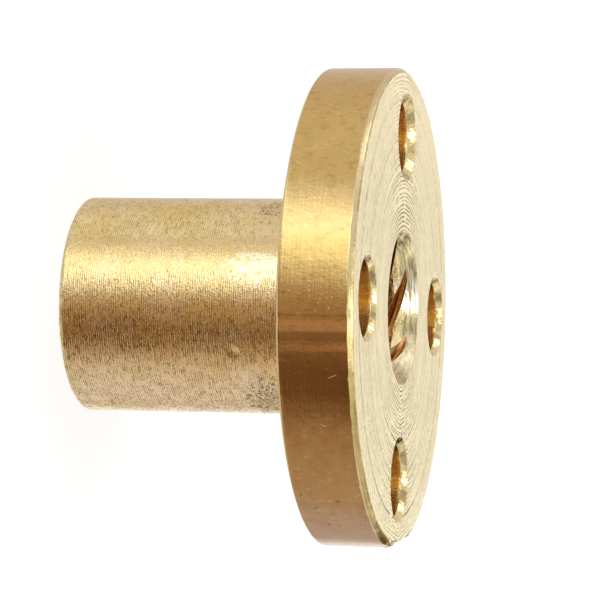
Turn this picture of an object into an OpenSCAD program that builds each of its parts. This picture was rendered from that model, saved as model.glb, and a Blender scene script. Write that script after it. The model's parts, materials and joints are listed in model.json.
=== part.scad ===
// Flanged lead screw nut, turned from one piece of brass: a round flange with four
// countersunk screw holes at the head of a plain barrel, and a multi-start
// trapezoidal thread right through it.
// The origin is on the bore axis in the plane of the flange's seating face,
// which is its barrel side. +Z runs out of the countersunk front face.

/* [Flange] */
// Outer diameter of the flange
flange_d = 22; // [20:0.1:30]
// Thickness of the flange
flange_t = 3.35; // [2:0.05:6]
// Chamfer on the flange's front edge
flange_chamfer = 0.22; // [0.05:0.01:0.6]
// Edge break on the flange's seating side
seat_edge_break = 0.08; // [0.02:0.01:0.3]

/* [Barrel] */
// Diameter of the barrel, which fits the hole in the carriage
barrel_d = 10; // [9.6:0.1:10.6]
// Length of the barrel behind the flange
barrel_l = 11.65; // [6:0.05:30]
// Edge break on the barrel's free end
barrel_edge_break = 0.12; // [0.02:0.01:0.3]

/* [Screw holes] */
// Number of screw holes in the flange
screw_count = 4; // [2:1:6]
// Diameter of the circle that the screw holes stand on
screw_pcd = 15.8; // [15:0.1:16.6]
// Diameter of each screw hole, a free fit on an M3 screw
screw_hole_d = 3.4; // [2.4:0.1:3.6]
// Width of the 45 degree countersink at the front of each screw hole
screw_countersink = 0.3; // [0.05:0.01:0.5]

/* [Thread] */
// Diameter of the thread over its crests, the smallest bore
minor_d = 5.2; // [4.6:0.05:5.4]
// Diameter of the thread at the bottom of its grooves
major_d = 6.3; // [5.8:0.05:6.8]
// Distance from one groove to the next along the axis
thread_pitch = 1; // [0.8:0.05:1.5]
// Number of separate grooves, which times the pitch gives the lead
thread_starts = 6; // [1:1:8]
// Width of a groove along the axis, halfway up its flanks
groove_w = 0.38; // [0.3:0.01:0.6]
// Slope of a groove's flanks from square to the axis, in degrees
flank_angle = 15; // [5:1:20]
// Angle from +X to the middle of one groove in the front face, in degrees
groove_start = 27; // [0:1:59]
// How far the mouth's countersink opens past the bottom of the grooves
mouth_margin = 0.4; // [0.1:0.05:0.6]

/* [Hidden] */

// smoothness of the turned surfaces
$fn = 120;
// how far each cutting tool overruns the surface that it leaves
overrun = 0.5;

flange_r = flange_d / 2;
barrel_r = barrel_d / 2;
minor_r = minor_d / 2;
major_r = major_d / 2;
mouth_r = major_r + mouth_margin;
thread_lead = thread_pitch * thread_starts;
front_z = flange_t;
end_z = -barrel_l;

// the cutter of the grooves starts inside the bore, where it cuts only air
groove_inner_r = minor_r - 0.25;
// steps of the grooves in one turn, and in the whole length
steps_per_turn = 30;
groove_l = front_z - end_z + 2 * overrun;
groove_steps = ceil(groove_l / thread_lead * steps_per_turn);

// Half section of the nut without its bore, as radius and height, from the axis
// at the barrel's end round to the axis at the front face
function half_section() = [
    [0, end_z],
    [barrel_r - barrel_edge_break, end_z],
    [barrel_r, end_z + barrel_edge_break],
    [barrel_r, 0],
    [flange_r - seat_edge_break, 0],
    [flange_r, seat_edge_break],
    [flange_r, front_z - flange_chamfer],
    [flange_r - flange_chamfer, front_z],
    [0, front_z],
];

// Half the angle that a groove takes up at a radius, in a cut square to the axis
function groove_half_angle(r) =
    let (mid_r = (minor_r + major_r) / 2,
         half_w = groove_w / 2 - (r - mid_r) * tan(flank_angle))
    half_w / thread_lead * 360;

function polar(r, angle) = [r * cos(angle), r * sin(angle)];

// The thread cut square to the axis: one lobe for each start
module thread_section() {
    points = [
        for (i = [0 : thread_starts - 1])
            let (middle = i * 360 / thread_starts,
                 inner = groove_half_angle(groove_inner_r),
                 outer = groove_half_angle(major_r))
            for (corner = [[groove_inner_r, -inner], [major_r, -outer], [major_r, outer],
                           [groove_inner_r, inner]])
                polar(corner[0], middle + corner[1])
    ];
    polygon(points);
}

// All the grooves as one tool, a right-hand screw that is in step at the front face
module thread_cutter() {
    turned_below_face = 360 * (groove_l - overrun) / thread_lead;
    translate([0, 0, end_z - overrun])
        rotate([0, 0, groove_start - turned_below_face])
            linear_extrude(height = groove_l, twist = -360 * groove_l / thread_lead,
                           slices = groove_steps, segments = 4 * thread_starts)
                thread_section();
}

// A 45 degree countersink around a hole, opening upward in the plane z = 0
module countersink(hole_r, mouth_r) {
    depth = mouth_r - hole_r;
    translate([0, 0, -depth])
        cylinder(r1 = hole_r, r2 = mouth_r + overrun, h = depth + overrun);
}

module threaded_bore() {
    translate([0, 0, end_z - overrun])
        cylinder(r = minor_r, h = groove_l);
    thread_cutter();
    translate([0, 0, front_z])
        countersink(minor_r, mouth_r);
    translate([0, 0, end_z])
        mirror([0, 0, 1])
            countersink(minor_r, mouth_r);
}

module screw_hole() {
    translate([0, 0, -overrun])
        cylinder(d = screw_hole_d, h = flange_t + 2 * overrun);
    translate([0, 0, front_z])
        countersink(screw_hole_d / 2, screw_hole_d / 2 + screw_countersink);
}

module nut() {
    color("#c8a04a")
        difference() {
            rotate_extrude()
                polygon(half_section());
            threaded_bore();
            for (i = [0 : screw_count - 1])
                rotate([0, 0, i * 360 / screw_count])
                    translate([screw_pcd / 2, 0, 0])
                        screw_hole();
        }
}

nut();
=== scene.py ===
"""Looks of the flanged lead screw nut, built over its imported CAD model.

The nut's surface is made here again as one finer mesh, in the CAD model's own size, with
rounded edges, the thread, nicks and dents. Each zone of the surface has its own finish.
Lengths are millimetres up to the point where the mesh is made, and angles are degrees round
the bore axis, from +X towards +Y.
"""
import json
import math

import bmesh
import bpy
import numpy as np
from mathutils import Matrix, Vector
from mathutils.geometry import delaunay_2d_cdt


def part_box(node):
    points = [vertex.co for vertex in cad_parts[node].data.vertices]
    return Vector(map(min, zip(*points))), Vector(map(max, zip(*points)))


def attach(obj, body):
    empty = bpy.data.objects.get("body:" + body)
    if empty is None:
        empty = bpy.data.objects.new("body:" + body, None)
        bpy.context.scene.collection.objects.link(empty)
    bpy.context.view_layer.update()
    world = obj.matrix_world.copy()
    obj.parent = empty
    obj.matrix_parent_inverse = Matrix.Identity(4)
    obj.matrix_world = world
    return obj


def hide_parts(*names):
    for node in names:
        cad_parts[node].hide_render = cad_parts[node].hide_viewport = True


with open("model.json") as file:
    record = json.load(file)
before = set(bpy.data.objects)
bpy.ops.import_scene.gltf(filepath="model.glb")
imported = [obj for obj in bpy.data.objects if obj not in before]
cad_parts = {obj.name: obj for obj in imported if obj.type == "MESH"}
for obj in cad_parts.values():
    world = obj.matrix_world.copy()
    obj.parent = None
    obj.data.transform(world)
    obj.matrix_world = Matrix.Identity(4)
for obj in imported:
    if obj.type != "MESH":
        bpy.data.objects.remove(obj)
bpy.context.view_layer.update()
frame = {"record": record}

MM = 0.001

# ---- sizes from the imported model
MOUNTS = {mount["name"]: mount for mount in frame["record"]["mounts"]}
node_low, node_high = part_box("nut")
TOP = node_high.z / MM
BOTTOM = node_low.z / MM
SEAT = 0.0
FLANGE_R = min(-node_low.x, node_high.x, -node_low.y, node_high.y) / MM
BARREL_R = MOUNTS["barrel"]["dims"]["r_mm"]
CREST_R = MOUNTS["lead_thread"]["dims"]["r_mm"]
HOLE_R = MOUNTS["flange_screws"]["dims"]["hole_r_mm"]
HOLE_COUNT = MOUNTS["flange_screws"]["dims"]["count"]
HOLE_CIRCLE_R = MOUNTS["flange_screws"]["dims"]["pcd_mm"] / 2

# ---- sizes repeated from the CAD source
FLANGE_CHAMFER = 0.22
SEAT_BREAK = 0.08
BARREL_BREAK = 0.12
ROOT_R = 3.15
THREAD_LEAD = 6.0
THREAD_STARTS = 6
GROOVE_W = 0.38
FLANK_ANGLE = 15.0
GROOVE_START = 27.0
MOUTH_R = 3.55
# distance between the rings that the tool left in the mouth
MOUTH_RING_PITCH = 0.24

# width of the countersink of the screw hole at each angle: hand countersinking leaves them uneven
COUNTERSINKS = {0: 0.27, 90: 0.27, 180: 0.35, 270: 0.22}

# ---- finishes, in the order of the material slots
FINISHES = ["barrel", "end_face", "seat_face", "rim", "chamfer",
            "front_face", "hole_wall", "countersink", "mouth", "thread"]
SLOT = {finish: index for index, finish in enumerate(FINISHES)}


# ======== wear in the shape
# (angle, height, half width, depth) of dents and nicks in the barrel's skin
BARREL_DENTS = [
    (-62.5, -3.55, 0.36, 0.045),
    (-59.0, -3.3, 0.2, 0.012),
    (-66.0, -3.8, 0.16, 0.015),
    (-118.0, -3.25, 0.12, 0.012),
    (-36.0, -2.6, 0.2, 0.02),
    (-30.0, -3.3, 0.16, 0.018),
    (-24.0, -2.3, 0.22, 0.02),
    (-20.0, -3.0, 0.14, 0.02),
    (-31.0, -1.5, 0.16, 0.015),
    (-45.7, -11.4, 0.12, 0.06),
    (-13.5, -11.2, 0.1, 0.05),
    (-89.0, -11.55, 0.16, 0.05),
    (-101.0, -11.62, 0.12, 0.04),
    (-140.0, -11.58, 0.14, 0.04),
    (75.0, -11.5, 0.15, 0.05),
    (140.0, -6.4, 0.3, 0.02),
    (35.0, -8.1, 0.24, 0.02),
]
# and in the rim, in the same way
RIM_DENTS = [
    (-109.0, 0.55, 0.1, 0.012),
    (-109.0, 1.85, 0.1, 0.012),
    (-144.0, 0.12, 0.12, 0.015),
    (-138.5, 1.36, 0.12, 0.012),
    (-127.6, 2.25, 0.11, 0.012),
    (-119.2, 0.03, 0.16, 0.03),
    (-39.5, 0.33, 0.16, 0.012),
    (-37.7, 1.97, 0.12, 0.012),
    (-28.0, 1.2, 0.09, 0.03),
    (-84.0, 0.06, 0.14, 0.03),
    (-66.0, 0.04, 0.12, 0.02),
    (60.0, 1.1, 0.22, 0.02),
    (128.0, 2.3, 0.18, 0.02),
    (171.0, 0.05, 0.2, 0.03),
]
# (angle, half width in degrees, extra chamfer) of small dings along the flange's front edge
EDGE_DINGS = [
    (-94.0, 1.3, 0.05),
    (-86.5, 0.9, 0.06),
    (-79.5, 0.8, 0.05),
    (-71.0, 1.2, 0.04),
    (-58.5, 0.9, 0.06),
    (-42.0, 1.0, 0.05),
    (-31.5, 0.7, 0.07),
    (-23.0, 0.8, 0.06),
    (-127.0, 0.9, 0.04),
    (-158.0, 1.4, 0.05),
    (20.0, 1.0, 0.05),
    (77.0, 1.2, 0.06),
    (131.0, 1.0, 0.06),
]
# the chip in the front edge, and the burr that it left beside it: angles in degrees, sizes in mm
CHIP_FROM, CHIP_TO = -7.0, 15.0
CHIP_HEIGHT, CHIP_DEPTH = 0.46, 0.29
BURR_LIFT = 0.12
BURR_ANGLE, BURR_HALF_WIDTH = -9.4, 1.6
# columns of points stand a degree apart round the nut, and this far apart from FINE_FROM to FINE_TO
FINE_FROM, FINE_TO, FINE_STEP = -13, 18, 0.4

# ---- how the surface is divided
# rows lie closer where the barrel's dents are
DENT_ROWS_FROM, DENT_ROWS_TO = -4.2, -2.0
# distance from an edge at which its own path begins
EDGE_REACH = 0.25
BARREL_EDGE_REACH = 0.3
BARREL_FOOT_REACH = 0.15
FRONT_EDGE_REACH = 0.8
FACE_REACH = 0.45
# distance between the points inside the flat faces
END_SPACING, FLANGE_SPACING = 0.4, 0.6
# the rim's grid starts with rows of the seating face, and then of the back edge break
SEAT_ROWS, BREAK_ROWS = 2, 5
HOLE_SIDES = 72
HOLE_BACK_BREAK = 0.04
CONE_STEPS, THREAD_STEPS = 33, 64
# points closer than this become one, in mm
WELD_DISTANCE = 0.0015
SHARP_ANGLE = 28.0


def bump_shape(distance):
    """1 at the middle of a dent, falling smoothly to 0 at its edge."""
    return np.clip(1.0 - distance ** 2, 0.0, None) ** 2


def turn_between(a, b):
    """The smaller angle from b to a, in degrees."""
    return (a - b + 180.0) % 360.0 - 180.0


def dented(radii, angles, heights, dents):
    """The radii with each dent pressed in."""
    lowered = radii.copy()
    for angle, height, half_width, depth in dents:
        across = np.radians(turn_between(angles, angle)) * radii
        distance = np.hypot(across, heights - height) / half_width
        lowered -= depth * bump_shape(distance)
    return lowered


def ripple(angles, seed, size, lowest=3, highest=60):
    """A small seeded waviness round an edge."""
    random = np.random.default_rng(seed)
    total = np.zeros_like(angles)
    for waves in range(lowest, highest, 4):
        total += random.normal() * np.sin(np.radians(waves * angles) + random.uniform(0, 2 * math.pi))
    return size * total / math.sqrt((highest - lowest) / 4)


# ======== profiles, as (radius, height)
def rounded(corners, fillet, steps=3):
    """The path through the corners with each inner corner rounded."""
    path = [corners[0]]
    for before, corner, after in zip(corners, corners[1:], corners[2:]):
        corner_at = np.array(corner)
        to_before = np.array(before) - corner_at
        to_after = np.array(after) - corner_at
        reach_before = min(fillet, np.linalg.norm(to_before) * 0.45)
        reach_after = min(fillet, np.linalg.norm(to_after) * 0.45)
        start = corner_at + to_before / np.linalg.norm(to_before) * reach_before
        end = corner_at + to_after / np.linalg.norm(to_after) * reach_after
        for share in np.linspace(0, 1, steps + 1):
            path.append(tuple((1 - share) ** 2 * start + 2 * share * (1 - share) * corner_at
                              + share ** 2 * end))
    path.append(corners[-1])
    return path


def spread(low, high, spacing):
    """Even steps from low to high, both left out."""
    count = max(1, round(abs(high - low) / spacing))
    return list(np.linspace(low, high, count + 1)[1:-1])


def barrel_path():
    """From the barrel's end face round its edge, up the barrel to the seating face."""
    reach = BARREL_EDGE_REACH
    edge = rounded([(BARREL_R - reach, BOTTOM), (BARREL_R - BARREL_BREAK, BOTTOM),
                    (BARREL_R, BOTTOM + BARREL_BREAK), (BARREL_R, BOTTOM + reach)], 0.06)
    heights = spread(BOTTOM + reach, DENT_ROWS_FROM, 0.2) + [DENT_ROWS_FROM]
    heights += spread(DENT_ROWS_FROM, DENT_ROWS_TO, 0.1) + [DENT_ROWS_TO]
    foot = SEAT - BARREL_FOOT_REACH
    heights += spread(DENT_ROWS_TO, foot, 0.18)
    corner = rounded([(BARREL_R, foot), (BARREL_R, SEAT), (BARREL_R + BARREL_FOOT_REACH, SEAT)], 0.06)
    return edge + [(BARREL_R, height) for height in heights] + corner


def seat_edge_path():
    """From the seating face round the flange's back edge to the rim."""
    return rounded([(FLANGE_R - EDGE_REACH, SEAT), (FLANGE_R - SEAT_BREAK, SEAT),
                    (FLANGE_R, SEAT + SEAT_BREAK), (FLANGE_R, SEAT + EDGE_REACH)], 0.05)


def front_edge_path(height, depth, push, chip, burr):
    """From the rim over the front chamfer to the front face: a steep facet, then a flatter one.

    Push hollows it, a chip steps straight in behind it, and a burr stands out from it.
    """
    start = (FLANGE_R, TOP - height)
    end = (FLANGE_R - depth, TOP)
    middle = (FLANGE_R - (0.5 + 0.34 * chip) * depth - push + BURR_LIFT * burr,
              TOP - (0.31 + 0.55 * chip) * height - push * 0.7)
    below = (FLANGE_R, TOP - FRONT_EDGE_REACH)
    return rounded([below, start, middle, end, (FLANGE_R - FACE_REACH, TOP)], 0.03)


def front_edge_paths(angles):
    """The front edge's path for each angle, with its dings, its chip and its burr."""
    heights = FLANGE_CHAMFER + ripple(angles, 11, 0.012)
    depths = FLANGE_CHAMFER + ripple(angles, 12, 0.012)
    pushes = ripple(angles, 13, 0.006)
    for angle, half_width, extra in EDGE_DINGS:
        share = bump_shape(turn_between(angles, angle) / half_width)
        heights += extra * share
        depths += extra * 0.6 * share
    rag = ripple(angles, 14, 0.03, 20, 120)
    chip = np.clip((turn_between(angles, CHIP_FROM)) / 0.6, 0, 1)
    chip *= np.clip((CHIP_TO - turn_between(angles, 0)) / 3.0, 0, 1)
    heights = heights * (1 - chip) + (CHIP_HEIGHT + rag) * chip
    depths = depths * (1 - chip) + (CHIP_DEPTH + 0.5 * rag) * chip
    pushes = pushes * (1 - chip)
    burr = bump_shape(turn_between(angles, BURR_ANGLE) / BURR_HALF_WIDTH)
    heights -= (FLANGE_CHAMFER - 0.07) * burr
    depths -= (FLANGE_CHAMFER - 0.06) * burr
    return [front_edge_path(*sizes) for sizes in zip(heights, depths, pushes, chip, burr)]


def outer_angles():
    """Columns round the nut: a degree apart, and closer at the chip."""
    coarse = [angle for angle in range(-180, 180) if not FINE_FROM <= angle <= FINE_TO]
    fine = np.arange(FINE_FROM, FINE_TO + 0.1, FINE_STEP)
    return np.sort(np.array(coarse + list(fine)))


# ======== the skin, gathered piece by piece
class Skin:
    """Gathers the points and faces of the surface, with a finish for each face."""

    def __init__(self):
        self.points = []
        self.faces = []
        self.finishes = []
        self.count = 0

    def add(self, points, faces, finish):
        """points is (n, 3); faces are index tuples into them; finish is a name, or one for each face."""
        names = [finish] * len(faces) if isinstance(finish, str) else finish
        self.points.append(points)
        self.faces += [tuple(int(i) + self.count for i in face) for face in faces]
        self.finishes += [SLOT[name] for name in names]
        self.count += len(points)

    def add_grid(self, points, finish):
        """points is (rows, columns, 3), closed round its columns. finish is a name, or one for each row."""
        rows, columns = points.shape[:2]
        row = np.arange(rows - 1)[:, None] * columns
        column = np.arange(columns)[None, :]
        after = (column + 1) % columns
        corners = [row + column, row + after, row + columns + after, row + columns + column]
        faces = np.stack(corners, -1).reshape(-1, 4)
        if not isinstance(finish, str):
            finish = [name for name in finish for _ in range(columns)]
        self.add(points.reshape(-1, 3), faces, finish)

    def add_flat(self, height, outer, inners, spacing, finish):
        """A flat face between an outer loop and the loops of its holes."""
        points, edges = [], []
        for loop in [outer] + inners:
            first = len(points)
            points += [Vector((float(x), float(y))) for x, y in loop]
            edges += [(first + i, first + (i + 1) % len(loop)) for i in range(len(loop))]
        points += [Vector(p) for p in filling_points(outer, inners, spacing)]
        flat, _, triangles, _, _, _ = delaunay_2d_cdt(points, edges, [], 0, 1e-6, False)
        kept = [t for t in triangles if in_region(sum((flat[i] for i in t), Vector((0, 0))) / 3,
                                                  outer, inners)]
        points_3d = np.array([(p.x, p.y, height) for p in flat])
        self.add(points_3d, kept, finish)


def loop_circle(loop):
    """The centre and the mean radius of a loop."""
    centre = loop.mean(0)
    return centre, np.hypot(*(loop - centre).T).mean()


def inside(point, loop):
    """Whether the loop goes round the point."""
    x, y = point
    ax, ay = loop.T
    bx, by = np.roll(ax, -1), np.roll(ay, -1)
    crosses = (ay > y) != (by > y)
    rise = np.where(by == ay, 1.0, by - ay)
    left_of = x < (bx - ax) * (y - ay) / rise + ax
    return bool(np.sum(crosses & left_of) % 2)


def in_region(point, outer, inners):
    """Whether a point lies in the flat face."""
    return inside(point, outer) and not any(inside(point, loop) for loop in inners)


def filling_points(outer, inners, spacing):
    """Points on rings across a flat face, clear of its edges."""
    _, outer_r = loop_circle(outer)
    circles = [loop_circle(loop) for loop in inners]
    found = []
    for radius in np.arange(circles[0][1] + spacing, outer_r - 0.6 * spacing, spacing):
        count = int(2 * math.pi * radius / spacing)
        for angle in np.linspace(0, 2 * math.pi, count, endpoint=False):
            point = np.array([radius * math.cos(angle), radius * math.sin(angle)])
            if all(np.hypot(*(point - centre)) > r + 0.6 * spacing for centre, r in circles):
                found.append((float(point[0]), float(point[1])))
    return found


def turned(radii, angles, heights):
    """Points in space from arrays of radius, angle and height."""
    return np.stack([radii * np.cos(np.radians(angles)), radii * np.sin(np.radians(angles)), heights], -1)


def outer_grid(paths, angles, dents):
    """Grid points of a turned surface, from one path or from one for each angle."""
    profile = np.array(paths, float)
    if profile.ndim == 2:
        profile = np.repeat(profile[None], len(angles), 0)
    radii, heights = profile[..., 0].T, profile[..., 1].T
    all_angles = np.broadcast_to(angles, radii.shape)
    return turned(dented(radii, all_angles, heights, dents), all_angles, heights)


def add_barrel(skin, angles):
    """The barrel's skin. Returns its loops in the end face and in the seating face."""
    grid = outer_grid(barrel_path(), angles, BARREL_DENTS)
    skin.add_grid(grid, "barrel")
    return grid[0, :, :2], grid[-1, :, :2]


def add_rim(skin, angles):
    """The rim and its edges. Returns its loops in the seating face and in the front face."""
    back = seat_edge_path()
    heights = spread(SEAT + EDGE_REACH, TOP - FRONT_EDGE_REACH, 0.13)
    middle = [(FLANGE_R, height) for height in heights]
    paths = [back + middle + front for front in front_edge_paths(angles)]
    rim_rows = len(back) + len(middle) + 1 - SEAT_ROWS - BREAK_ROWS
    names = ["seat_face"] * SEAT_ROWS + ["chamfer"] * BREAK_ROWS + ["rim"] * rim_rows
    names += ["chamfer"] * (len(paths[0]) - 2 - len(names)) + ["front_face"]
    grid = outer_grid(paths, angles, RIM_DENTS)
    skin.add_grid(grid, names)
    return grid[0, :, :2], grid[-1, :, :2]


# ======== screw holes
def hole_path(countersink):
    """From the seating face up the wall of a screw hole and over its countersink."""
    back = rounded([(HOLE_R + 0.12, SEAT), (HOLE_R + HOLE_BACK_BREAK, SEAT),
                    (HOLE_R, SEAT + HOLE_BACK_BREAK), (HOLE_R, SEAT + 0.3)], 0.02, 2)
    walls = [(HOLE_R, height) for height in spread(SEAT + 0.3, TOP - countersink - 0.2, 0.3)]
    top = rounded([(HOLE_R, TOP - countersink - 0.2), (HOLE_R, TOP - countersink),
                   (HOLE_R + countersink, TOP), (HOLE_R + countersink + 0.08, TOP)], 0.02, 2)
    return back + walls + top


def add_screw_hole(skin, angle):
    """One screw hole. Returns its loops in the seating face and in the front face."""
    countersink = COUNTERSINKS[angle % 360]
    path = np.array(hole_path(countersink))
    round_angles = np.linspace(0, 360, HOLE_SIDES, endpoint=False)
    radii = np.repeat(path[:, :1], len(round_angles), 1)
    heights = np.repeat(path[:, 1:], len(round_angles), 1)
    grid = turned(radii, np.broadcast_to(round_angles, radii.shape), heights)
    centre = turned(np.array(HOLE_CIRCLE_R), np.array(float(angle)), np.array(0.0))
    grid = grid + centre
    names = []
    for low, high in zip(path[:-1], path[1:]):
        if high[1] <= SEAT:
            names.append("seat_face")
        elif low[1] >= TOP:
            names.append("front_face")
        elif high[0] > HOLE_R and high[1] > TOP - countersink - 0.01:
            names.append("countersink")
        else:
            names.append("hole_wall")
    skin.add_grid(grid, names)
    return grid[0, :, :2], grid[-1, :, :2]


# ======== threaded bore
def groove_half_angle(radius):
    """Half the angle that a groove takes up at a radius, in a cut square to the axis."""
    middle = (CREST_R + ROOT_R) / 2
    half_width = GROOVE_W / 2 - (radius - middle) * math.tan(math.radians(FLANK_ANGLE))
    return half_width / THREAD_LEAD * 360


def thread_profile():
    """(angle from the groove's middle, radius) across one start of the thread."""
    root = groove_half_angle(ROOT_R)
    crest = groove_half_angle(CREST_R)
    half = 180 / THREAD_STARTS
    side = [(0.0, ROOT_R), (root * 0.45, ROOT_R), (root * 0.8, ROOT_R - 0.004)]
    side.append((root * 0.97, ROOT_R - 0.02))
    for share in (0.15, 0.35, 0.55, 0.75, 0.92):
        side.append((root + (crest - root) * share, ROOT_R + (CREST_R - ROOT_R) * share))
    side += [(crest + 0.1, CREST_R + 0.012), (crest + 0.9, CREST_R)]
    side += [(crest + (half - crest) * share, CREST_R) for share in (0.25, 0.5, 0.75)]
    mirrored = [(-angle, radius) for angle, radius in side[:0:-1]]
    return mirrored + side + [(half, CREST_R)]


def thread_columns():
    """(angle at the front face, radius) of every column of the threaded bore."""
    profile = thread_profile()
    step = 360 / THREAD_STARTS
    return np.array([(GROOVE_START + start * step + angle, radius)
                     for start in range(THREAD_STARTS) for angle, radius in profile])


def cone_chatter(depth, angles):
    """Rings that the tool left in the mouth, as a change of radius."""
    fade = np.clip(depth / 0.08, 0, 1) * np.clip((0.95 - depth) / 0.1, 0, 1)
    drift = 0.9 * np.sin(np.radians(angles)) + 0.5 * np.sin(np.radians(3 * angles + 40))
    strength = 0.009 + 0.003 * np.sin(np.radians(2 * angles + 70))
    return strength * fade * np.sin(2 * math.pi * depth / MOUTH_RING_PITCH + drift)


def add_bore(skin):
    """The thread and both mouths. Returns its loops in the barrel's end and in the front face."""
    columns = thread_columns()
    angles, radii = columns[:, 0], columns[:, 1]
    cone_steps = np.linspace(0, 1, CONE_STEPS)[:, None]
    front_depth = cone_steps * (MOUTH_R - radii)
    front_z = TOP - front_depth
    chatter = cone_chatter(front_depth, angles) * (cone_steps > 0) * (cone_steps < 1)
    front_r = MOUTH_R - front_depth - chatter
    back_depth = (1 - cone_steps[::2]) * (MOUTH_R - radii)
    back_z = BOTTOM + back_depth
    back_r = MOUTH_R - back_depth
    shares = np.linspace(0, 1, THREAD_STEPS)[1:-1, None]
    middle_z = front_z[-1] + (back_z[0] - front_z[-1]) * shares
    middle_r = np.broadcast_to(radii, middle_z.shape)
    heights = np.concatenate([front_z, middle_z, back_z])
    all_radii = np.concatenate([front_r, middle_r, back_r])
    turned_angles = angles + (heights - TOP) / THREAD_LEAD * 360
    grid = turned(all_radii, turned_angles, heights)
    names = ["mouth"] * (len(front_z) - 1) + ["thread"] * (len(middle_z) + 1)
    names += ["mouth"] * (len(back_z) - 1)
    skin.add_grid(grid, names)
    return grid[-1, :, :2], grid[0, :, :2]


# ======== the nut as one mesh
def new_object(name, data):
    made = bpy.data.objects.new(name, data)
    bpy.context.scene.collection.objects.link(made)
    return made


def gather_skin():
    """Every surface of the nut, with flat faces between their loops."""
    skin = Skin()
    angles = outer_angles()
    end_outer, seat_inner = add_barrel(skin, angles)
    seat_outer, front_outer = add_rim(skin, angles)
    end_inner, front_inner = add_bore(skin)
    turn = 360 // HOLE_COUNT
    hole_loops = [add_screw_hole(skin, turn * index) for index in range(HOLE_COUNT)]
    backs, fronts = zip(*hole_loops)
    skin.add_flat(BOTTOM, end_outer, [end_inner], END_SPACING, "end_face")
    skin.add_flat(SEAT, seat_outer, [seat_inner, *backs], FLANGE_SPACING, "seat_face")
    skin.add_flat(TOP, front_outer, [front_inner, *fronts], FLANGE_SPACING, "front_face")
    return skin


def make_nut(materials):
    skin = gather_skin()
    mesh = bpy.data.meshes.new("turned_nut")
    mesh.from_pydata((np.concatenate(skin.points) * MM).tolist(), [], skin.faces)
    for material in materials:
        mesh.materials.append(material)
    mesh.polygons.foreach_set("material_index", skin.finishes)
    work = bmesh.new()
    work.from_mesh(mesh)
    bmesh.ops.remove_doubles(work, verts=work.verts, dist=WELD_DISTANCE * MM)
    bmesh.ops.recalc_face_normals(work, faces=work.faces)
    work.to_mesh(mesh)
    work.free()
    mesh.polygons.foreach_set("use_smooth", [True] * len(mesh.polygons))
    mesh.set_sharp_from_angle(angle=math.radians(SHARP_ANGLE))
    return new_object("turned_nut", mesh)


# ======== node shorthand
def new_material(name):
    material = bpy.data.materials.new(name)
    material.use_nodes = True
    return material


class Net:
    """Makes and links the nodes of one shader tree. A value is a number or another node's output."""

    def __init__(self, tree):
        self.tree = tree
        tree.nodes.clear()

    def add(self, kind, inputs=(), **settings):
        """A new node. inputs gives the values of its sockets, by their names or numbers."""
        node = self.tree.nodes.new(kind)
        for key, value in settings.items():
            setattr(node, key, value)
        for key, value in dict(inputs).items():
            if isinstance(value, bpy.types.NodeSocket):
                self.tree.links.new(value, node.inputs[key])
            else:
                node.inputs[key].default_value = value
        return node

    def math(self, operation, a, b=0.0):
        return self.add("ShaderNodeMath", {0: a, 1: b}, operation=operation).outputs[0]

    def minus(self, a, b):
        return self.math("SUBTRACT", a, b)

    def least(self, a, b):
        return self.math("MINIMUM", a, b)

    def size(self, value):
        return self.math("ABSOLUTE", value)

    def chain(self, operation, values):
        """The values, taken one after another into one result."""
        result = values[0]
        for value in values[1:]:
            result = self.math(operation, result, value)
        return result

    def times(self, *values):
        return self.chain("MULTIPLY", values)

    def most(self, *values):
        return self.chain("MAXIMUM", values)

    def total(self, *terms):
        """The sum of the terms. A tuple is a term that is the product of its values."""
        values = [self.times(*term) if isinstance(term, tuple) else term for term in terms]
        return self.chain("ADD", values)

    def step(self, value, low, high, to_low=0.0, to_high=1.0):
        """A smooth step of value, from to_low at low to to_high at high."""
        inputs = {"Value": value, "From Min": low, "From Max": high, "To Min": to_low, "To Max": to_high}
        return self.add("ShaderNodeMapRange", inputs, interpolation_type="SMOOTHSTEP").outputs["Result"]

    def near(self, value, middle, outer, inner):
        """1 where value is within inner of the middle, 0 where it is farther from it than outer."""
        return self.step(self.size(self.minus(value, middle)), outer, inner)

    def noise(self, vector, scale, detail=2.0, roughness=0.5, distortion=0.0):
        inputs = {"Vector": vector, "Scale": scale, "Detail": detail, "Roughness": roughness,
                  "Distortion": distortion}
        return self.add("ShaderNodeTexNoise", inputs, noise_dimensions="3D").outputs["Fac"]

    def line_noise(self, value, scale, detail):
        """Noise along one number."""
        inputs = {"W": value, "Scale": scale, "Detail": detail}
        return self.add("ShaderNodeTexNoise", inputs, noise_dimensions="1D").outputs["Fac"]

    def drawn_noise(self, axes, detail, roughness, distortion=0.0):
        """Noise drawn out along its three axes. Each axis is a tuple, the product of its values."""
        values = dict(enumerate([self.times(*axis) for axis in axes]))
        place = self.add("ShaderNodeCombineXYZ", values).outputs[0]
        return self.noise(place, 1.0, detail, roughness, distortion)

    def mix(self, share, a, b):
        """Colour a with the share of colour b over it."""
        return self.add("ShaderNodeMix", {0: share, 6: a, 7: b}, data_type="RGBA").outputs[2]


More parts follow.
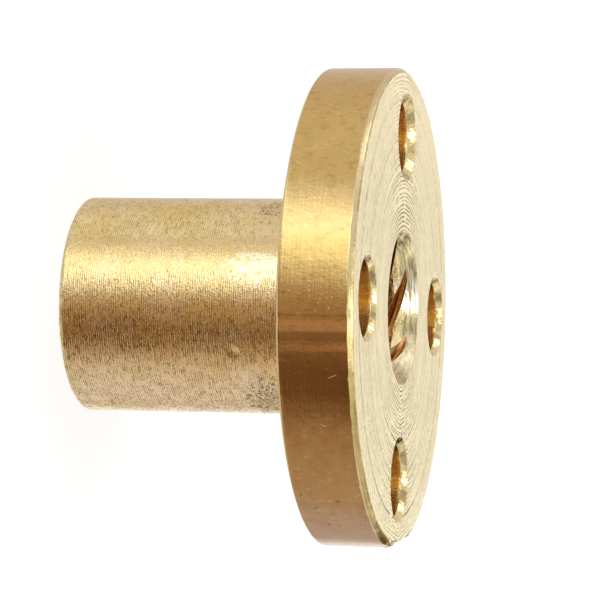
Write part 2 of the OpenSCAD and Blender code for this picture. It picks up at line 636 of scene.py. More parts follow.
class Brass(Net):
    """A brass material under way: coordinates in millimetres, and the calls that its finishes share."""

    def __init__(self, name):
        self.material = new_material(name)
        super().__init__(self.material.node_tree)
        metres = self.add("ShaderNodeTexCoord").outputs["Object"]
        scaled = self.add("ShaderNodeVectorMath", {0: metres, "Scale": 1 / MM}, operation="SCALE")
        self.mm = scaled.outputs[0]
        self.x, self.y, self.z = self.add("ShaderNodeSeparateXYZ", {0: self.mm}).outputs
        self.radius = self.math("SQRT", self.total((self.x, self.x), (self.y, self.y)))
        self.turn = self.math("ARCTAN2", self.y, self.x)

    def x_step(self, low, high, to_low=0.0, to_high=1.0):
        """A smooth step along X, which runs down the photograph."""
        return self.step(self.x, low, high, to_low, to_high)

    def base(self, share, tone, other):
        """The first colour: a tone with the share of another over it."""
        self.colour = self.mix(share, tone, other)

    def paint(self, tone, *shares):
        """Mixes a tone over the colour so far, by the product of the shares."""
        self.colour = self.mix(self.times(*shares), self.colour, tone)

    def finish(self, roughness, height, depth, edge_tint=None):
        """Closes the material. height is in units of depth, which is in millimetres."""
        bump = self.add("ShaderNodeBump", {"Strength": 1.0, "Distance": depth * MM, "Height": height})
        inputs = {"Metallic": 1.0, "Base Color": self.colour, "Roughness": roughness,
                  "Normal": bump.outputs["Normal"]}
        if edge_tint is not None:
            inputs["Specular Tint"] = edge_tint
        shader = self.add("ShaderNodeBsdfPrincipled", inputs)
        self.add("ShaderNodeOutputMaterial", {"Surface": shader.outputs["BSDF"]})
        return self.material

    def grain(self, scale, detail, roughness=0.5):
        """Noise through the part. A scale of three numbers differs along x, y and z."""
        if isinstance(scale, tuple):
            stretched = self.add("ShaderNodeVectorMath", {0: self.mm, 1: scale}, operation="MULTIPLY")
            return self.noise(stretched.outputs[0], 1.0, detail, roughness)
        return self.noise(self.mm, scale, detail, roughness)

    def place(self, angle, height):
        """(along the turning direction, along the axis) from a point on a turned surface, in mm."""
        c, s = math.cos(math.radians(angle)), math.sin(math.radians(angle))
        along = self.total((self.x, -s), (self.y, c))
        facing = self.total((self.x, c), (self.y, s))
        up = self.minus(self.z, height)
        return along, up, self.step(facing, 0.0, 0.5)

    def patch(self, angle, height, half_turn, half_up, ragged=0.0):
        """1 inside a soft oval on a turned surface, 0 outside it."""
        along, up, facing = self.place(angle, height)
        flat = self.total(self.math("POWER", self.times(along, 1 / half_turn), 2.0),
                          self.math("POWER", self.times(up, 1 / half_up), 2.0))
        if ragged:
            flat = self.total(flat, (ragged, self.minus(self.grain(3.0, 2.0), 0.5)))
        return self.times(self.step(flat, 1.0, 0.2), facing)

    def spot(self, x, y, half_x, half_y):
        """1 inside a soft oval on a flat face, 0 outside it."""
        dx = self.times(self.minus(self.x, x), 1 / half_x)
        dy = self.times(self.minus(self.y, y), 1 / half_y)
        return self.step(self.total((dx, dx), (dy, dy)), 1.0, 0.2)

    def scratch(self, angle, height, along, up, half_width):
        """1 on a straight scratch that runs from angle and height by along and up, in mm."""
        turned_by, raised_by, facing = self.place(angle, height)
        length = math.hypot(along, up)
        ux, uy = along / length, up / length
        run = self.total((turned_by, ux), (raised_by, uy))
        off = self.size(self.total((turned_by, -uy), (raised_by, ux)))
        ends = self.times(self.step(run, 0.0, 0.15), self.step(run, length, length - 0.15))
        return self.times(self.step(off, half_width, half_width * 0.3), ends, facing)

    def scratches(self, sizes):
        return self.most(*[self.scratch(*size) for size in sizes])


def rgb(red, green, blue):
    return (red, green, blue, 1.0)


WHITE = rgb(1.0, 1.0, 1.0)


# ======== finishes
# pitch of the barrel's fine rings in mm, and strength of the darker bands in the flat faces
BARREL_RING_PITCH = 0.102
BAND_STRENGTH = 0.34
# colours of the metal, its films and its dirt
BRIGHT = rgb(0.88, 0.68, 0.34)
WARM = rgb(0.82, 0.59, 0.25)
PALE_SIDE_TONE = rgb(1.0, 0.84, 0.57)
TARNISH_TOP = rgb(0.68, 0.46, 0.17)
TARNISH_BOTTOM = rgb(0.5, 0.3, 0.12)
GRIME = rgb(0.2, 0.13, 0.07)
RIM_MOTTLE = rgb(0.36, 0.22, 0.08)
RIM_HIGHLIGHT_TINT = rgb(1.0, 0.96, 0.74)
RIM_RUST = rgb(0.46, 0.2, 0.05)
RIM_OLIVE = rgb(0.56, 0.43, 0.13)
RIM_SHADE_DUSK = rgb(0.28, 0.22, 0.07)
RIM_REFLECTION_TAN = rgb(0.8, 0.52, 0.22)
RIM_REFLECTION_DARK = rgb(0.3, 0.14, 0.05)
RIM_SHINY = rgb(0.95, 0.78, 0.44)
RIM_SPARKLE = rgb(1.0, 0.84, 0.48)
PURPLE_FILM = rgb(0.52, 0.38, 0.28)
GREY_FILM = rgb(0.5, 0.42, 0.3)
FRESH_CUT = rgb(0.9, 0.74, 0.42)
EDGE_PALE = rgb(0.84, 0.67, 0.37)
EDGE_WARM = rgb(0.76, 0.57, 0.22)
EDGE_TAN = rgb(0.8, 0.58, 0.32)
EDGE_TORN = rgb(0.36, 0.27, 0.15)
EDGE_STAIN_AND_SHADE = rgb(0.42, 0.31, 0.11)
EDGE_HIGHLIGHT_LINE = rgb(1.0, 0.86, 0.66)
COUNTERSINK_LIGHT = rgb(0.9, 0.71, 0.36)
COUNTERSINK_DARK = rgb(0.6, 0.45, 0.2)
MOUTH_LIGHT = rgb(0.92, 0.76, 0.44)
MOUTH_PALE = rgb(0.84, 0.73, 0.48)
MOUTH_EDGE = rgb(1.0, 0.93, 0.8)
MOUTH_HIGHLIGHT = rgb(0.97, 0.92, 0.8)
MOUTH_LOW_SHADE = rgb(0.52, 0.42, 0.28)
MOUTH_SMEAR_AND_SHADE = rgb(0.36, 0.29, 0.13)
GOLD_EDGE_HIGHLIGHT = rgb(0.94, 0.68, 0.26)
THREAD_SHADE = rgb(0.5, 0.24, 0.08)
FACE_BRIGHT = rgb(0.98, 0.86, 0.56)
FACE_CLOUD = rgb(0.92, 0.8, 0.5)
FEED_MARK = rgb(0.07, 0.06, 0.03)
FEED_EDGE = rgb(0.32, 0.29, 0.19)
FACE_EDGE = rgb(1.0, 0.955, 0.875)
BARREL_BRIGHT = rgb(0.97, 0.77, 0.43)
BARREL_WARM = rgb(0.93, 0.71, 0.31)
BARREL_EDGE = rgb(0.58, 0.4, 0.14)
BARREL_TONE_IN_HIGHLIGHT = rgb(0.67, 0.45, 0.24)
BARREL_HIGHLIGHT = rgb(1.0, 0.94, 0.78)
BARREL_OLIVE = rgb(0.3, 0.24, 0.05)
BARREL_BAND_SHADE = rgb(0.4, 0.22, 0.04)
BARREL_DARK = rgb(0.24, 0.14, 0.02)
SCRATCH_LIGHT = rgb(1.0, 0.88, 0.58)
HOLE_LIGHT = rgb(1.0, 0.86, 0.44)
HOLE_GOLD = rgb(1.0, 0.72, 0.28)
HOLE_STREAK = rgb(0.7, 0.4, 0.12)
HOLE_SHADE_DARK = rgb(0.22, 0.08, 0.03)
HOLE_SHADE_RED = rgb(0.56, 0.22, 0.07)
COUNTERSINK_DIRT = rgb(0.12, 0.07, 0.03)
COUNTERSINK_DIRT_EDGE = rgb(0.12, 0.08, 0.05)
THREAD_LIGHT = rgb(0.94, 0.55, 0.22)
THREAD_BROWN = rgb(0.62, 0.32, 0.11)
THREAD_STREAK = rgb(0.2, 0.09, 0.03)


# painted reflections and painted shade across the rim, as streaks: (angle, half width in mm along the
# turning direction, strength, colour)
RIM_PAINTED_STREAKS = [
    (-82.9, 0.3, 0.95, RIM_REFLECTION_TAN),
    (-80.5, 0.24, 0.4, RIM_REFLECTION_DARK),
    (-77.9, 0.18, 0.9, RIM_REFLECTION_TAN),
    (-85.2, 0.08, 0.3, RIM_REFLECTION_DARK),
    (-66.6, 0.5, 0.25, RIM_SHADE_DUSK),
    (-62.6, 0.3, 0.25, RIM_SHADE_DUSK),
    (-35.0, 0.3, 0.2, RIM_REFLECTION_DARK),
]
# small dark pits in the rim: (angle, height, half width along the turning direction, half height)
RIM_PITS = [
    (-26.0, 1.2, 0.2, 0.09),
    (-38.8, 0.36, 0.16, 0.12),
    (-36.6, 1.95, 0.14, 0.13),
    (-33.9, 0.9, 0.1, 0.07),
]
# thin scratches in the rim: (angle and height of one end, then along and up to the other end, half width)
RIM_SCRATCHES = [
    (-125.5, 0.6, 0.0, 0.95, 0.02),
    (-121.9, 0.3, 0.35, 0.6, 0.026),
    (-116.2, 0.6, 0.4, 0.9, 0.022),
    (-125.9, 1.95, 0.5, 0.95, 0.018),
    (-113.0, 2.1, -0.3, 0.55, 0.016),
    (-60.0, 1.72, 0.16, 0.38, 0.02),
    (-48.3, 2.62, 0.02, 0.34, 0.022),
    (-97.0, 0.4, 0.25, 0.5, 0.015),
    (-71.0, 2.2, -0.2, 0.45, 0.015),
    (40.0, 1.2, 0.8, 0.6, 0.02),
    (112.0, 0.8, -0.5, 1.1, 0.02),
]
# thin scratches in the barrel, in the same way
BARREL_SCRATCHES = [
    (-116.4, -11.5, -0.52, 0.72, 0.045),
    (-100.0, -9.0, 0.35, -0.4, 0.018),
    (-118.0, -3.4, -0.3, 0.12, 0.024),
    (-96.0, -8.45, 0.22, -0.45, 0.018),
    (60.0, -6.0, 0.6, 0.9, 0.02),
    (150.0, -9.0, 0.5, 0.7, 0.02),
]
# grey spots on the front face: (x, y, half width in x, half width in y)
FACE_SPOTS = [(-4.29, -8.64, 0.22, 0.2)]


def barrel_finish():
    """Satin turned skin: regular fine rings, grit all over, and clusters of dark specks near the flange."""
    net = Brass("barrel_satin")
    wander = net.grain(0.5, 2.0)
    rings = net.math("SINE", net.total((net.z, 2 * math.pi / BARREL_RING_PITCH), (wander, 7.0)))
    held = net.step(net.grain((1.6, 1.6, 2.4), 3.0, 0.6), 0.34, 0.62)
    grit = net.grain(10.5, 2.0, 0.75)
    streaks = net.grain((3.0, 3.0, 11.0), 2.0, 0.65)
    clouds = net.grain(0.55, 3.0, 0.6)
    smudge = net.most(net.patch(-26.0, -2.2, 1.7, 1.3, 5.0), net.patch(-149.0, -2.35, 1.0, 0.8, 5.0))
    film = net.patch(-136.0, -1.9, 1.5, 1.4, 5.0)
    # a painted highlight: a paler patch with fewer dark marks, where the softbox's reflection is brightest
    highlight_patch = net.patch(-107.5, -1.9, 0.9, 2.2, 5.0)
    worn_low = net.times(0.4, net.x_step(1.4, 4.6))
    pits = net.grain(8.0, 3.0, 0.7)
    specks = net.step(net.total(pits, (0.13, smudge), (0.04, worn_low)), 0.66, 0.72)
    outer_end = net.step(net.z, -5.0, -9.0)
    # painted light: a paler colour over the side towards +X, with less of it at the outer end's lowest edge
    pale = net.times(net.step(net.total(net.x, (2.0, clouds)), 3.3, 5.4),
                     net.total(0.95, (-0.45, outer_end, net.x_step(4.3, 4.9))))
    net.base(net.step(clouds, 0.35, 0.65), BARREL_WARM, BARREL_BRIGHT)
    net.paint(PALE_SIDE_TONE, pale)
    # painted shade: browner in the dark reflection band, on the barrel's outer half
    net.paint(BARREL_BAND_SHADE, 0.2, outer_end, net.x_step(0.2, 1.4), net.x_step(3.0, 2.0))
    net.paint(GREY_FILM, 0.25, smudge)
    cut = net.times(net.step(rings, -0.3, 0.9), held)
    dark_grit = net.step(net.total(grit, (0.12, cut)), 0.51, 0.63)
    dark_streaks = net.step(streaks, 0.53, 0.63)
    # painted shade: the dark marks are stronger where the studio's dark gap is reflected, and more so on
    # the outer half
    band_x = net.total(net.x, (-0.4, outer_end), -1.3)
    in_dark_reflection = net.near(band_x, 0.0, 2.2, 0.4)
    strength = net.total(0.3, (0.14, in_dark_reflection), (0.1, in_dark_reflection, outer_end))
    shade = net.total((strength, cut), (net.total(0.34, (-0.14, in_dark_reflection)), dark_grit),
                      (1.15, strength, dark_streaks))
    # painted shade in the highlight band: a duller tone there, with fewer dark marks
    lit = net.near(net.x, -1.9, 1.2, 0.7)
    shade = net.times(shade, net.total(1.0, (-0.45, lit)), net.total(1.0, (-0.6, net.most(film, highlight_patch))))
    net.paint(BARREL_TONE_IN_HIGHLIGHT, 0.38, lit)
    net.paint(GREY_FILM, 0.2, film)
    # painted highlight over that patch
    net.paint(BARREL_HIGHLIGHT, 0.42, highlight_patch)
    net.paint(net.mix(net.x_step(-1.2, 0.6), BARREL_OLIVE, BARREL_DARK), shade)
    net.paint(GRIME, 0.85, specks)
    thin = net.scratches(BARREL_SCRATCHES)
    net.paint(SCRATCH_LIGHT, 0.8, thin)
    roughness = net.total(0.15, (0.08, clouds), (0.08, smudge), (0.1, thin))
    lively = net.near(net.x, 2.4, 1.5, 0.3)
    height = net.total((0.05, rings, held), (0.32, grit), (net.total(0.35, (0.06, lively)), streaks),
                       (-0.4, specks), (-0.5, thin))
    dark_marks = net.times(net.most(shade, specks), net.x_step(-4.0, -2.0))
    edge_tint = net.mix(dark_marks, WHITE, BARREL_EDGE)
    return net.finish(roughness, height, 0.036, edge_tint)


def rim_finish():
    """Smoother and more tarnished: olive gold, browner on one side, with specks and thin scratches."""
    net = Brass("rim_tarnished")
    rings = net.grain((0.2, 0.2, 9.0), 2.0, 0.5)
    clouds = net.grain((0.5, 0.5, 0.3), 4.0, 0.62)
    mottle = net.grain(2.2, 4.0, 0.65)
    grain = net.grain(7.0, 3.0, 0.65)
    flecks = net.grain((4.0, 4.0, 2.6), 3.0, 0.7)
    side = net.total((net.x, 0.075), (0.9, clouds))
    net.base(net.step(side, 0.32, 0.95), TARNISH_TOP, TARNISH_BOTTOM)
    net.paint(RIM_MOTTLE, 0.35, net.step(mottle, 0.52, 0.68))
    olive = net.step(net.grain((0.8, 0.8, 1.1), 3.0, 0.6), 0.48, 0.62)
    net.paint(RIM_OLIVE, 0.34, olive, net.x_step(4.0, 1.0))
    # painted reflections and painted shade, as streaks across the rim
    for angle, half_turn, strength, tone in RIM_PAINTED_STREAKS:
        net.paint(tone, strength, net.patch(angle, 1.7, half_turn, 6.0, 0.8))
    net.paint(PURPLE_FILM, 0.5, net.step(net.total(net.x, (2.0, mottle)), 9.0, 11.2))
    net.paint(RIM_MOTTLE, 0.35, net.step(flecks, 0.56, 0.68))
    net.paint(RIM_SHINY, 0.3, net.step(flecks, 0.4, 0.3))
    spotted = net.total(net.grain(3.4, 4.0, 0.75), (0.02, net.x_step(3.0, 6.0)),
                        (0.035, net.x_step(7.0, 9.5)))
    specks = net.most(net.step(spotted, 0.68, 0.74), *[net.patch(*pit, 0.8) for pit in RIM_PITS])
    net.paint(GRIME, 0.7, specks)
    thin = net.scratches(RIM_SCRATCHES)
    net.paint(RIM_SHINY, 0.75, thin)
    # painted glints in the band where the highlight fades out
    sparkles = net.times(net.near(net.x, -0.4, 1.6, 0.6), net.step(net.grain(5.5, 3.0, 0.7), 0.66, 0.72))
    net.paint(RIM_SPARKLE, 0.7, sparkles)
    # painted highlight: a paler tint where the softbox is reflected
    net.paint(RIM_HIGHLIGHT_TINT, 0.07, net.near(net.x, -3.7, 1.7, 0.8))
    patches = net.grain((0.9, 0.9, 1.3), 3.0, 0.6)
    lower = net.x_step(2.5, 5.0)
    net.paint(RIM_RUST, 0.22, lower, net.step(patches, 0.52, 0.62))
    net.paint(RIM_OLIVE, 0.22, lower, net.step(patches, 0.48, 0.38))
    net.paint(RIM_RUST, 0.08, net.near(net.x, 7.5, 2.0, 1.0))
    roughness = net.total(0.13, (0.1, clouds), (0.05, mottle), (0.2, thin))
    height = net.total((0.5, rings), (0.3, mottle), (0.3, grain), (0.6, flecks), (-0.6, specks),
                       (-0.8, thin), (-0.5, sparkles))
    return net.finish(roughness, height, 0.013)


def edge_finish():
    """Chamfers and edge breaks: pale where they are rubbed, tan and brown where dirt is left, with painted
    shade towards the front face and a painted highlight line along the rim.
    """
    net = Brass("edge_rubbed")
    lines = net.grain((0.5, 0.5, 14.0), 2.0, 0.6)
    rub = net.grain(1.4, 3.0, 0.65)
    nicks = net.grain(5.0, 3.0, 0.7)
    drawn = net.drawn_noise([(net.radius, 16.0), (0.8, net.turn), (16.0, net.z)], 2.0, 0.6)
    warmer = net.step(net.total((net.x, 0.05), rub), 0.3, 0.8)
    net.base(warmer, EDGE_PALE, EDGE_WARM)
    upper = net.step(net.z, TOP - 0.1, TOP - 0.04)
    low_side = net.x_step(5.5, 10.0)
    # painted shade towards the front face, and dirt in the rubbed places, stronger on the side towards +X
    net.paint(EDGE_STAIN_AND_SHADE, net.total((0.5, upper), (0.6, low_side), 0.12), net.step(rub, 0.36, 0.6))
    net.paint(EDGE_STAIN_AND_SHADE, 0.5, net.step(nicks, 0.58, 0.68))
    net.paint(EDGE_STAIN_AND_SHADE, net.total(0.25, (0.4, low_side)), net.step(drawn, 0.5, 0.62))
    # a painted highlight: a thin pale line along the chamfer's border with the rim
    highlight_line = net.times(net.step(net.z, TOP - 0.17, TOP - 0.2), net.step(net.z, TOP - 0.3, TOP - 0.26),
                    net.x_step(5.0, 8.0))
    net.paint(EDGE_HIGHLIGHT_LINE, 0.5, highlight_line, net.x_step(10.85, 10.6))
    roughness = net.total(0.14, (0.12, rub))
    height = net.total((0.6, lines), (0.5, rub), (0.6, nicks))
    torn = net.patch(BURR_ANGLE, TOP - 0.1, 2.6, 0.4, 0.4)
    net.paint(EDGE_TORN, 0.7, torn)
    net.paint(EDGE_TAN, 0.6, net.x_step(-7.0, -9.5), net.step(nicks, 0.58, 0.5))
    edge_tint = net.mix(net.times(0.8, torn), WHITE, EDGE_TORN)
    return net.finish(roughness, height, 0.018, edge_tint)


def faced_finish(name, pitch, light, dark, depth, spots=()):
    """A faced surface: a fine spiral of feed marks, deeper at some radii and broken here and there."""
    net = Brass(name)
    wander = net.line_noise(net.radius, 1.3, 2.0)
    shaken = net.grain(0.9, 2.0, 0.5)
    beside = net.least(net.size(net.y), 1.6)
    seam = net.times(0.12, beside, net.x_step(2.0, 3.5))
    phase = net.total((net.total(net.radius, seam), 2 * math.pi / pitch), net.turn, (6.0, wander),
                      (5.0, shaken))
    spiral = net.math("SINE", phase)
    deep = net.step(net.line_noise(net.radius, 2.6, 3.0), 0.28, 0.5)
    broken = net.step(net.grain(2.6, 3.0, 0.7), 0.36, 0.52)
    across = net.near(net.y, 0.0, 4.5, 1.2)
    strength = net.times(net.total(0.3, (0.7, deep)), net.total(0.25, (0.75, across)),
                         net.x_step(-8.5, -4.0, 0.35, 0.85), net.x_step(4.0, 7.5, 1.0, 0.6))
    bands = net.step(net.line_noise(net.total(net.radius, (0.1, shaken)), 4.4, 2.0), 0.56, 0.64)
    near_top = net.x_step(-8.5, -4.0, 0.4, 1.0)
    cut = net.total((net.step(spiral, 0.32, 0.92), strength, broken),
                    (BAND_STRENGTH, bands, broken, near_top))
    clouds = net.grain(0.8, 3.0, 0.6)
    grit = net.grain(8.0, 2.0, 0.6)
    pits = net.times(0.5, net.step(net.grain(4.6, 3.0, 0.7), 0.66, 0.71))
    far_top = net.times(0.6, net.step(net.y, 0.5, 4.0), net.x_step(-3.0, -6.5))
    net.base(net.most(net.step(clouds, 0.35, 0.7), far_top), light, dark)
    grey = net.x_step(3.0, 6.5, 0.16, 0.42)
    marks = net.most(net.least(net.times(0.95, cut), 1.0), net.times(grey, net.step(grit, 0.56, 0.66)),
                     pits, *[net.times(0.45, net.spot(*spot)) for spot in spots])
    net.paint(FEED_MARK, marks)
    edge_tint = net.mix(marks, FACE_EDGE, FEED_EDGE)
    roughness = net.total(0.28, (0.06, clouds))
    relief = net.times(2.2 * pitch, spiral, net.total(0.4, (0.8, deep)))
    height = net.total(relief, (0.12, grit), (-0.3, pits))
    return net.finish(roughness, height, depth, edge_tint)


def hole_finish():
    """Drilled walls: gold with streaks down the hole, and painted shade at the two ends along X: dark brown
    at one, red-brown at the other.
    """
    net = Brass("hole_drilled")
    streaks = net.grain((2.6, 2.6, 0.6), 2.0, 0.6)
    rings = net.grain((0.8, 0.8, 3.0), 2.0, 0.6)
    clouds = net.grain(1.6, 3.0, 0.6)
    nearest = net.times(HOLE_CIRCLE_R, net.math("ROUND", net.times(net.x, 1 / HOLE_CIRCLE_R)))
    along_x = net.total(net.minus(net.x, nearest), (0.8, clouds), -0.4)
    net.base(net.step(clouds, 0.35, 0.65), HOLE_LIGHT, HOLE_GOLD)
    net.paint(HOLE_STREAK, 0.35, net.step(streaks, 0.5, 0.62))
    # painted shade at the two ends of each hole along X
    net.paint(HOLE_SHADE_DARK, 0.75, net.step(along_x, -1.15, -1.6))
    net.paint(HOLE_SHADE_RED, 0.5, net.step(along_x, 0.9, 1.5))
    roughness = net.total(0.2, (0.12, clouds))
    return net.finish(roughness, net.total((0.5, rings), clouds, streaks), 0.03)


def countersink_finish():
    """Countersinks: bright fresh cuts, with chattered facets round each hole that flash light and dark, in
    bumps and in painted reflections.
    """
    net = Brass("countersink_cut")
    far_x, far_y = net.size(net.x), net.size(net.y)
    out = net.minus(net.most(far_x, far_y), HOLE_CIRCLE_R)
    across = net.least(far_x, far_y)
    reach = net.math("SQRT", net.total((out, out), (across, across)))
    axes = [(3.0, net.math("DIVIDE", out, reach)), (3.0, net.math("DIVIDE", across, reach)),
            (0.5, net.minus(net.x, net.y))]
    facets = net.drawn_noise(axes, 2.0, 0.6)
    chatter = net.grain(5.5, 2.0, 0.6)
    waves = net.grain(1.8, 2.0, 0.5)
    # painted reflections: the facets' light and dark tones
    net.base(net.step(facets, 0.5, 0.58), COUNTERSINK_LIGHT, COUNTERSINK_DARK)
    net.paint(COUNTERSINK_DARK, 0.4, net.step(chatter, 0.5, 0.62))
    dirt = net.times(net.spot(HOLE_CIRCLE_R - 1.86, 0.05, 0.3, 0.75), net.step(chatter, 0.62, 0.5))
    net.paint(COUNTERSINK_DIRT, 0.95, dirt)
    roughness = net.total(0.05, (0.05, chatter))
    height = net.total((0.5, chatter), waves, (1.6, facets))
    return net.finish(roughness, height, 0.02, net.mix(dirt, WHITE, COUNTERSINK_DIRT_EDGE))


def mouth_finish():
    """The mouth of the bore: pale cut metal with rings and olive smears, a painted highlight and painted
    shade, and gold burrs toward the thread that carry painted highlights.
    """
    net = Brass("mouth_cut")
    rings = net.drawn_noise([(net.radius, 9.0), (net.x, 0.6), (net.y, 0.6)], 2.0, 0.6)
    smears = net.drawn_noise([(net.radius, 4.5), (net.x, 1.3), (net.y, 1.3)], 4.0, 0.65, 0.5)
    top_side = net.x_step(-1.0, -2.8)
    low_side = net.x_step(0.6, 2.0)
    tip = net.x_step(-2.5, -3.1)
    dirty = net.total(smears, (-0.05, top_side), (0.06, tip), (-0.04, low_side))
    net.base(low_side, MOUTH_LIGHT, MOUTH_PALE)
    net.paint(MOUTH_SMEAR_AND_SHADE, 0.75, net.step(dirty, 0.49, 0.6))
    # painted highlight across the mouth
    net.paint(MOUTH_HIGHLIGHT, 0.7, net.x_step(-1.9, -1.0), net.x_step(0.25, -0.3))
    # painted shade: a duller band just below the highlight
    net.paint(MOUTH_SMEAR_AND_SHADE, 0.33, net.x_step(-0.2, 0.2), net.x_step(1.4, 0.7))
    # painted shade on the side towards +X, broken up by the smears
    net.paint(MOUTH_LOW_SHADE, 0.55, net.x_step(1.4, 1.9), net.step(smears, 0.36, 0.5))
    net.paint(MOUTH_SMEAR_AND_SHADE, net.total(0.75, (-0.35, low_side)), net.step(rings, 0.51, 0.62))
    # burrs in the bump, with painted highlights in gold on them
    burrs = net.times(net.step(net.radius, 3.05, 2.7), net.step(net.grain(5.0, 3.0, 0.7), 0.42, 0.58))
    net.paint(GOLD_EDGE_HIGHLIGHT, 0.8, burrs)
    roughness = net.total(0.08, (0.12, smears), (0.08, burrs), (0.2, low_side))
    height = net.total(rings, (0.9, smears), (0.6, burrs))
    return net.finish(roughness, height, 0.026, MOUTH_EDGE)


def thread_finish():
    """The thread: streaks run along its grooves, painted gold highlights at the crests and painted brown
    shade deep inside.
    """
    net = Brass("thread_cut")
    along = net.minus(net.turn, net.times(net.z, 2 * math.pi / THREAD_LEAD))
    axes = [(net.math("COSINE", along), 9.0), (net.math("SINE", along), 9.0), (net.z, 0.5)]
    marks = net.drawn_noise(axes, 3.0, 0.65)
    clouds = net.grain(1.5, 3.0, 0.6)
    net.base(net.step(clouds, 0.38, 0.62), THREAD_LIGHT, THREAD_BROWN)
    net.paint(THREAD_STREAK, 0.75, net.step(marks, 0.5, 0.6))
    deep_inside = net.times(net.step(net.z, TOP - 1.02, TOP - 1.2), net.x_step(1.2, 0.4))
    net.paint(THREAD_SHADE, 0.75, deep_inside)
    crest = net.times(net.step(net.radius, 2.78, 2.62), net.total(1.0, (-0.8, deep_inside)))
    flecks = net.step(net.grain(5.0, 3.0, 0.7), 0.45, 0.6)
    # painted highlights in gold on the crests
    net.paint(GOLD_EDGE_HIGHLIGHT, 0.8, crest, flecks)
    roughness = net.total(0.16, (0.16, clouds))
    return net.finish(roughness, net.total(marks, (0.6, crest, flecks)), 0.04)


def make_finishes():
    made = {
        "barrel": barrel_finish(),
        "end_face": faced_finish("end_faced", 0.17, FRESH_CUT, BRIGHT, 0.022),
        "seat_face": faced_finish("seat_faced", 0.2, BRIGHT, WARM, 0.022),
        "rim": rim_finish(),
        "chamfer": edge_finish(),
        "front_face": faced_finish("front_faced", 0.19, FACE_BRIGHT, FACE_CLOUD, 0.022, FACE_SPOTS),
        "hole_wall": hole_finish(),
        "countersink": countersink_finish(),
        "mouth": mouth_finish(),
        "thread": thread_finish(),
    }
    return [made[finish] for finish in FINISHES]


# ======== light, floor and camera
# The studio round the nut at its own height: (angle round the bore axis, brightness).
# A softbox stands at about -118 degrees, a dark gap at -50, and the white backdrop from 68 to 98.
STUDIO = [
    (-180, 0.89), (-158, 0.83), (-148, 0.82), (-138, 1.0), (-130, 1.82), (-118, 2.2),
    (-111, 1.78), (-105, 1.18), (-99, 0.81), (-94, 0.6), (-89, 0.47), (-84, 0.44),
    (-76, 0.5), (-70, 0.46), (-64, 0.26), (-55, 0.21), (-44, 0.225), (-36, 0.38),
    (-27, 0.56), (-12, 0.69), (8, 0.75), (40, 0.76), (56, 0.72), (63, 0.56),
    (68, 1.22), (80, 1.22), (88, 1.17), (98, 1.15), (105, 0.78), (130, 0.74),
    (155, 0.76), (170, 0.83),
]
# Softboxes and dark places overhead, in degrees: (angle, height angle, full radius, outer radius, and
# change in brightness)
OVERHEAD = [
    (-75, 80, 7, 11, 2.6),
    (80, 78, 8, 13, 1.3),
    (154, 45, 7, 12, 1.9),
    (38, 38, 4, 9, 0.45),
    (-70, 50, 7, 13, 0.95),
    (-176, 35, 6, 12, 0.6),
    (11, 57, 7, 17, -0.34),
    (-162, 68, 4, 11, -0.18),
    (66, 12, 11, 17, -0.42),
]
OVERHEAD_LEVEL = 0.8
BELOW_LEVEL = 0.74
# the ring is brown where it is dark, as a room's floor and table are
DARKEST_TINT = rgb(1.0, 0.56, 0.3)
# the ring's brightness is stored as a share of this
RING_SCALE = 4.0
# where the ring gives way to what is overhead and below, as the height of a direction
RING_TOP = (0.34, 0.56)
RING_FOOT = (-0.42, -0.66)
# from this far below the horizon the ring leans, by so many radians for each unit of height
LEAN_BELOW = 0.225
LEAN = -1.37
# half the floor's side, in metres
FLOOR_HALF = 0.8
FLOOR_GREY = rgb(0.35, 0.35, 0.35)
FLOOR_GLOW = 0.78


def direction(angle, height_angle):
    """The unit vector towards an angle round the bore axis and an angle above the floor."""
    a, h = math.radians(angle), math.radians(height_angle)
    return (math.cos(a) * math.cos(h), math.sin(a) * math.cos(h), math.sin(h))


def studio_ring(net, turn):
    """Brightness by the angle round the nut, from the STUDIO list."""
    ramp = net.add("ShaderNodeValToRGB", {0: net.total((turn, 0.5 / math.pi), 0.5)})
    stops = ramp.color_ramp.elements
    while len(stops) < len(STUDIO):
        stops.new(0.5)
    for stop, (angle, level) in zip(stops, STUDIO):
        stop.position = (angle + 180) / 360
        stop.color = rgb(*[level / RING_SCALE] * 3)
    return net.times(ramp.outputs[0], RING_SCALE)


def make_world():
    world = bpy.data.worlds.new("studio")
    bpy.context.scene.world = world
    world.use_nodes = True
    net = Net(world.node_tree)
    ray = net.add("ShaderNodeTexCoord").outputs["Generated"]
    x, y, z = net.add("ShaderNodeSeparateXYZ", {0: ray}).outputs
    leaning = net.times(net.least(net.total(z, LEAN_BELOW), 0.0), LEAN)
    ring = studio_ring(net, net.total(net.math("ARCTAN2", y, x), leaning))
    above = net.step(z, *RING_TOP)
    below = net.step(z, *RING_FOOT)
    beside = net.minus(1.0, net.total(above, below))
    level = net.total((ring, beside), (above, OVERHEAD_LEVEL), (below, BELOW_LEVEL))
    for angle, height_angle, full, outer, change in OVERHEAD:
        towards = direction(angle, height_angle)
        dot = net.add("ShaderNodeVectorMath", {0: ray, 1: towards}, operation="DOT_PRODUCT")
        spot = net.step(dot.outputs["Value"], math.cos(math.radians(outer)), math.cos(math.radians(full)))
        level = net.total(level, (spot, change))
    tint = net.mix(net.total(net.step(ring, 0.2, 1.0), above, below), DARKEST_TINT, WHITE)
    seen = net.add("ShaderNodeLightPath").outputs["Is Camera Ray"]
    studio = net.add("ShaderNodeBackground", {"Color": tint, "Strength": level})
    white = net.add("ShaderNodeBackground", {"Color": WHITE, "Strength": 1.0})
    both = net.add("ShaderNodeMixShader", {0: seen, 1: studio.outputs[0], 2: white.outputs[0]})
    net.add("ShaderNodeOutputWorld", {"Surface": both.outputs[0]})


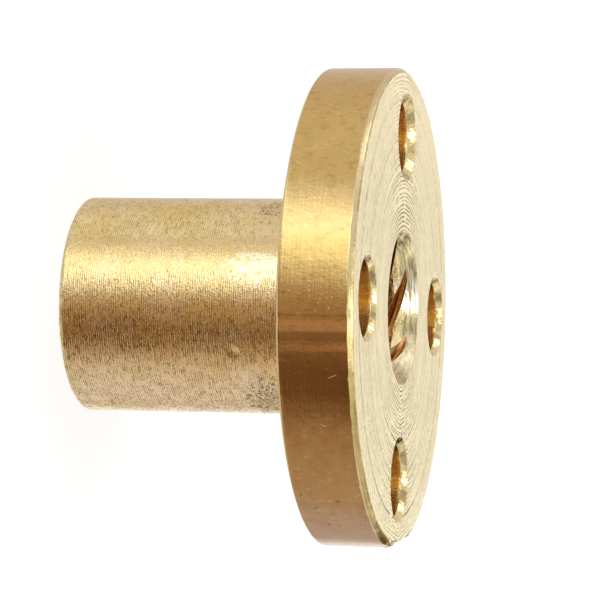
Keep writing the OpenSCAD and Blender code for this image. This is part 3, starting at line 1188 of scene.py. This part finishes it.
def floor_material():
    """Pale floor that the camera sees as white and that still takes the nut's soft shadow."""
    material = new_material("floor_paper")
    net = Net(material.node_tree)
    paper = net.add("ShaderNodeBsdfDiffuse", {"Color": FLOOR_GREY})
    seen = net.add("ShaderNodeLightPath").outputs["Is Camera Ray"]
    glow = net.add("ShaderNodeEmission", {"Color": WHITE, "Strength": net.times(seen, FLOOR_GLOW)})
    both = net.add("ShaderNodeAddShader", {0: paper.outputs[0], 1: glow.outputs[0]})
    net.add("ShaderNodeOutputMaterial", {"Surface": both.outputs[0]})
    return material


def make_floor():
    """The plain floor that the barrel's end stands on. Metal mirrors the studio's walls instead of it."""
    mesh = bpy.data.meshes.new("floor")
    signs = [(-1, -1), (1, -1), (1, 1), (-1, 1)]
    corners = [(x * FLOOR_HALF, y * FLOOR_HALF, BOTTOM * MM) for x, y in signs]
    mesh.from_pydata(corners, [], [(0, 1, 2, 3)])
    mesh.materials.append(floor_material())
    floor = new_object("floor", mesh)
    floor.visible_glossy = False


# the camera of the photograph: where it stands and looks, in degrees and millimetres
CAMERA_ANGLE = -86.97
CAMERA_HEIGHT_ANGLE = 13.367
CAMERA_ROLL = -90.745
CAMERA_DISTANCE = 130.968
CAMERA_LENS = 169.54
CAMERA_AIM = (-0.299, -0.022, -1.531)
SENSOR_WIDTH = 36.0
CLIP_START, CLIP_END = 0.01, 10.0


def make_camera():
    """The photograph's camera: it looks across the nut, turned so that the bore axis lies level."""
    data = bpy.data.cameras.new("camera")
    data.lens = CAMERA_LENS
    data.sensor_width = SENSOR_WIDTH
    data.clip_start = CLIP_START
    data.clip_end = CLIP_END
    camera = new_object("camera", data)
    back = Vector(direction(CAMERA_ANGLE, CAMERA_HEIGHT_ANGLE))
    level_right = (-back).cross(Vector((0, 0, 1))).normalized()
    level_up = level_right.cross(-back)
    roll = math.radians(CAMERA_ROLL)
    up = level_up * math.cos(roll) + level_right * math.sin(roll)
    right = (-back).cross(up)
    place = (Vector(CAMERA_AIM) + back * CAMERA_DISTANCE) * MM
    rows = [[right[i], up[i], back[i], place[i]] for i in range(3)]
    camera.matrix_world = Matrix(rows + [[0, 0, 0, 1]])
    bpy.context.scene.camera = camera


# ======== put together
bpy.context.scene.view_settings.view_transform = "Standard"
make_camera()
make_world()
make_floor()
nut = make_nut(make_finishes())
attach(nut, "root")
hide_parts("nut")
